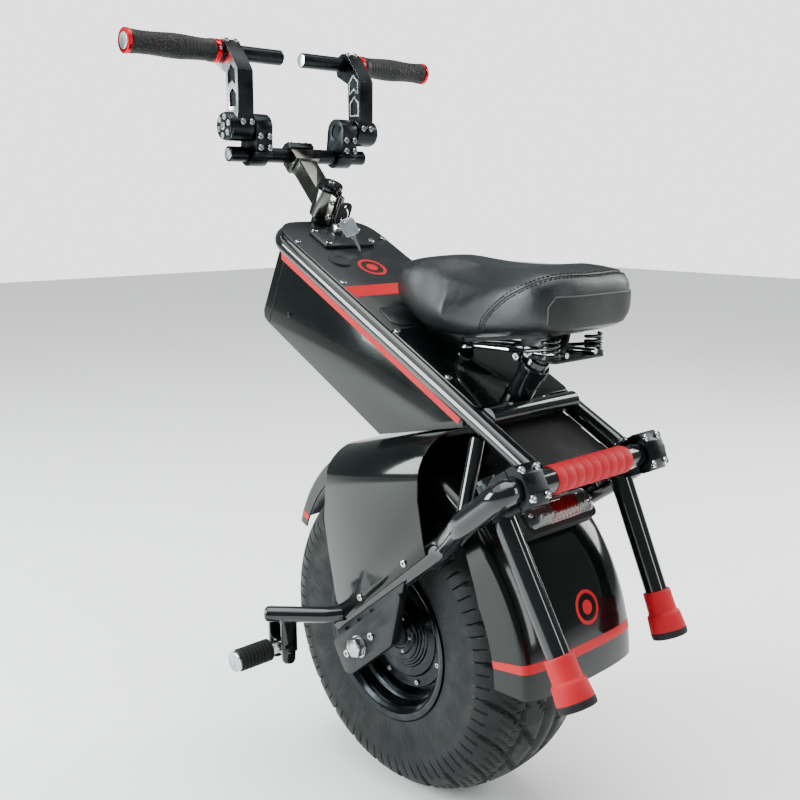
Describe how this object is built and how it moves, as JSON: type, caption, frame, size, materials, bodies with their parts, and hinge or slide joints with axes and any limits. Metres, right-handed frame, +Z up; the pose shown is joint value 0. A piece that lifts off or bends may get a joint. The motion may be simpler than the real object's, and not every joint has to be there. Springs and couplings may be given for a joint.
{
  "type": "unicycle",
  "caption": "Seated electric unicycle: fat-tyred hub-motor wheel in a tube frame with battery case, saddle, foot pegs, rear prop legs and riser handlebar.",
  "frame": {"origin": "on the ground, under the middle of the box round the whole machine", "axes": "+Z up, +X towards the rider's left, -Y forwards"},
  "size_m": [0.549, 0.7086, 1.0534],
  "materials": {
    "tyre": "matt tread rubber",
    "gloss_black": "gloss black paint",
    "tube_black": "gloss black paint on steel tube",
    "anodised": "black anodised aluminium",
    "rubber": "matt black rubber",
    "saddle_leather": "black grained synthetic leather",
    "red_rubber": "matt red rubber foam",
    "red_lens": "red tail light lens",
    "chrome": "polished chrome",
    "steel": "bright steel",
    "cast": "black painted casting",
    "motor_cover": "black painted aluminium casting",
    "copper": "copper windings and laminations",
    "battery_wrap": "blue heat-shrink wrap"
  },
  "bodies": {
    "frame": {"axle": "steel", "motor_stator": "copper", "left_axle_plate": "anodised", "right_axle_plate": "anodised", "left_axle_nut": "steel", "right_axle_nut": "steel", "lower_frame_tube": "tube_black", "upper_frame_tube": "tube_black", "left_frame_strut": "tube_black", "right_frame_strut": "tube_black", "seat_tube": "tube_black", "cross_tube_grip": "red_rubber", "left_peg_arm": "tube_black", "right_peg_arm": "tube_black", "wheel_shroud": "gloss_black", "front_fender": "gloss_black", "rear_fender": "gloss_black", "tail_light_body": "cast", "tail_light_lens": "red_lens", "battery_case": "gloss_black", "battery_pack": "battery_wrap", "motor_controller": "steel", "front_cover": "anodised", "rear_cover": "gloss_black", "dash_plate": "anodised", "key_switch": "chrome", "steering_post": "anodised"},
    "wheel": {"tyre": "tyre", "wheel_rim": "motor_cover", "left_motor_cover": "motor_cover", "right_motor_cover": "motor_cover"},
    "stem": {"stem": "anodised", "stem_faceplate": "anodised", "crossbar": "anodised"},
    "seat_post": {"seat_post": "steel"},
    "saddle": {"saddle": "saddle_leather", "saddle_frame": "cast"},
    "ignition_key": {"ignition_key": "rubber"},
    "left_peg": {"left_foot_peg": "steel", "left_peg_rubber": "rubber"},
    "left_riser": {"left_riser_clamp": "anodised"},
    "left_arm": {"left_riser_arm": "anodised", "left_handlebar": "anodised", "left_grip": "rubber"},
    "left_leg_clamp": {"left_leg_clamp": "anodised", "left_leg_clamp_cap": "anodised"},
    "left_leg": {"left_leg": "anodised", "left_foot_cup": "red_rubber", "left_foot_sole": "rubber"},
    "right_peg": {"right_foot_peg": "steel", "right_peg_rubber": "rubber"},
    "right_riser": {"right_riser_clamp": "anodised"},
    "right_arm": {"right_riser_arm": "anodised", "right_handlebar": "anodised", "right_grip": "rubber"},
    "right_leg_clamp": {"right_leg_clamp": "anodised", "right_leg_clamp_cap": "anodised"},
    "right_leg": {"right_leg": "anodised", "right_foot_cup": "red_rubber", "right_foot_sole": "rubber"}
  },
  "joints": [
    {"name": "wheel_spin", "type": "hinge", "parent": "frame", "child": "wheel", "pos_m": [0, -0.01915, 0.233], "axis": [1, 0, 0], "continuous": true},
    {"name": "stem_turn", "type": "hinge", "parent": "frame", "child": "stem", "pos_m": [0, -0.25577, 0.82203], "axis": [0, 0.4493, 0.8934], "range_deg": [-15, 15]},
    {"name": "key_turn", "type": "hinge", "parent": "frame", "child": "ignition_key", "pos_m": [0, -0.22231, 0.78841], "axis": [0, 0.4493, 0.8934], "range_deg": [0, 90]},
    {"name": "seat_post_slide", "type": "slide", "parent": "frame", "child": "seat_post", "axis": [0, 0.551, 0.8345], "range_m": [0, 0.045]},
    {"name": "saddle_tilt", "type": "hinge", "parent": "seat_post", "child": "saddle", "pos_m": [0, 0.17713, 0.6481], "axis": [1, 0, 0], "range_deg": [-6, 0]},
    {"name": "left_peg_fold", "type": "hinge", "parent": "frame", "child": "left_peg", "pos_m": [0.189, -0.12415, 0.215], "axis": [0, -1, 0], "range_deg": [0, 30]},
    {"name": "left_riser_tilt", "type": "hinge", "parent": "stem", "child": "left_riser", "pos_m": [0.08, -0.32275, 0.8918], "axis": [1, 0, 0], "range_deg": [-20, 20]},
    {"name": "left_arm_swing", "type": "hinge", "parent": "left_riser", "child": "left_arm", "pos_m": [0.115, -0.31415, 0.93], "axis": [1, 0, 0], "range_deg": [-40, 40]},
    {"name": "left_leg_swing", "type": "hinge", "parent": "frame", "child": "left_leg_clamp", "pos_m": [0.115, 0.24685, 0.511], "axis": [1, 0, 0], "range_deg": [-9, 58]},
    {"name": "left_leg_slide", "type": "slide", "parent": "left_leg_clamp", "child": "left_leg", "axis": [0, 0.521, -0.8536], "range_m": [-0.03, 0.02]},
    {"name": "right_peg_fold", "type": "hinge", "parent": "frame", "child": "right_peg", "pos_m": [-0.189, -0.12415, 0.215], "axis": [0, 1, 0], "range_deg": [0, 30]},
    {"name": "right_riser_tilt", "type": "hinge", "parent": "stem", "child": "right_riser", "pos_m": [-0.08, -0.32275, 0.8918], "axis": [1, 0, 0], "range_deg": [-20, 20]},
    {"name": "right_arm_swing", "type": "hinge", "parent": "right_riser", "child": "right_arm", "pos_m": [-0.115, -0.31415, 0.93], "axis": [1, 0, 0], "range_deg": [-40, 40]},
    {"name": "right_leg_swing", "type": "hinge", "parent": "frame", "child": "right_leg_clamp", "pos_m": [-0.115, 0.24685, 0.511], "axis": [1, 0, 0], "range_deg": [-2, 65]},
    {"name": "right_leg_slide", "type": "slide", "parent": "right_leg_clamp", "child": "right_leg", "axis": [0, 0.4115, -0.9114], "range_m": [-0.03, 0.02]}
  ]
}
